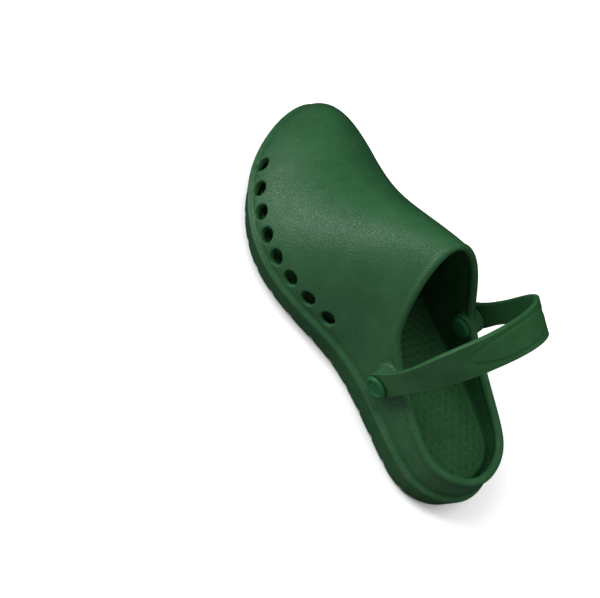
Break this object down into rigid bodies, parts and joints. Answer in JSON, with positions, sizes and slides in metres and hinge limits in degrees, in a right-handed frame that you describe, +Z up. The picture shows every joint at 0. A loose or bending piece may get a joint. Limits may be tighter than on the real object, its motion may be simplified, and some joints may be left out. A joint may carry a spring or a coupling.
{
  "type": "garden clog",
  "caption": "Left-foot garden clog of moulded foam: closed perforated upper, heel cup, loose insole and a heel strap that swings on two side studs.",
  "frame": {"origin": "on the ground, under the centre of the clog's bounding box", "axes": "+Y towards the toe, +X towards the inner (big toe) side, +Z up"},
  "size_m": [0.1152, 0.2742, 0.1381],
  "materials": {
    "shell_foam": "satin leather-grained moulded EVA foam",
    "insole_foam": "matt dimpled EVA foam",
    "strap_foam": "satin moulded EVA foam",
    "stud_plastic": "satin moulded plastic"
  },
  "bodies": {
    "shell": {"clog_shell": "shell_foam", "insole": "insole_foam", "rivet_lateral": "stud_plastic", "rivet_medial": "stud_plastic", "rivet_cap_lateral": "stud_plastic", "rivet_cap_medial": "stud_plastic"},
    "strap": {"heel_strap": "strap_foam"}
  },
  "joints": [
    {"name": "strap_swing", "type": "hinge", "parent": "shell", "child": "strap", "pos_m": [0.01061, -0.0473, 0.04885], "axis": [0.9525, 0.2558, 0.1652], "range_deg": [-57, 45]}
  ]
}
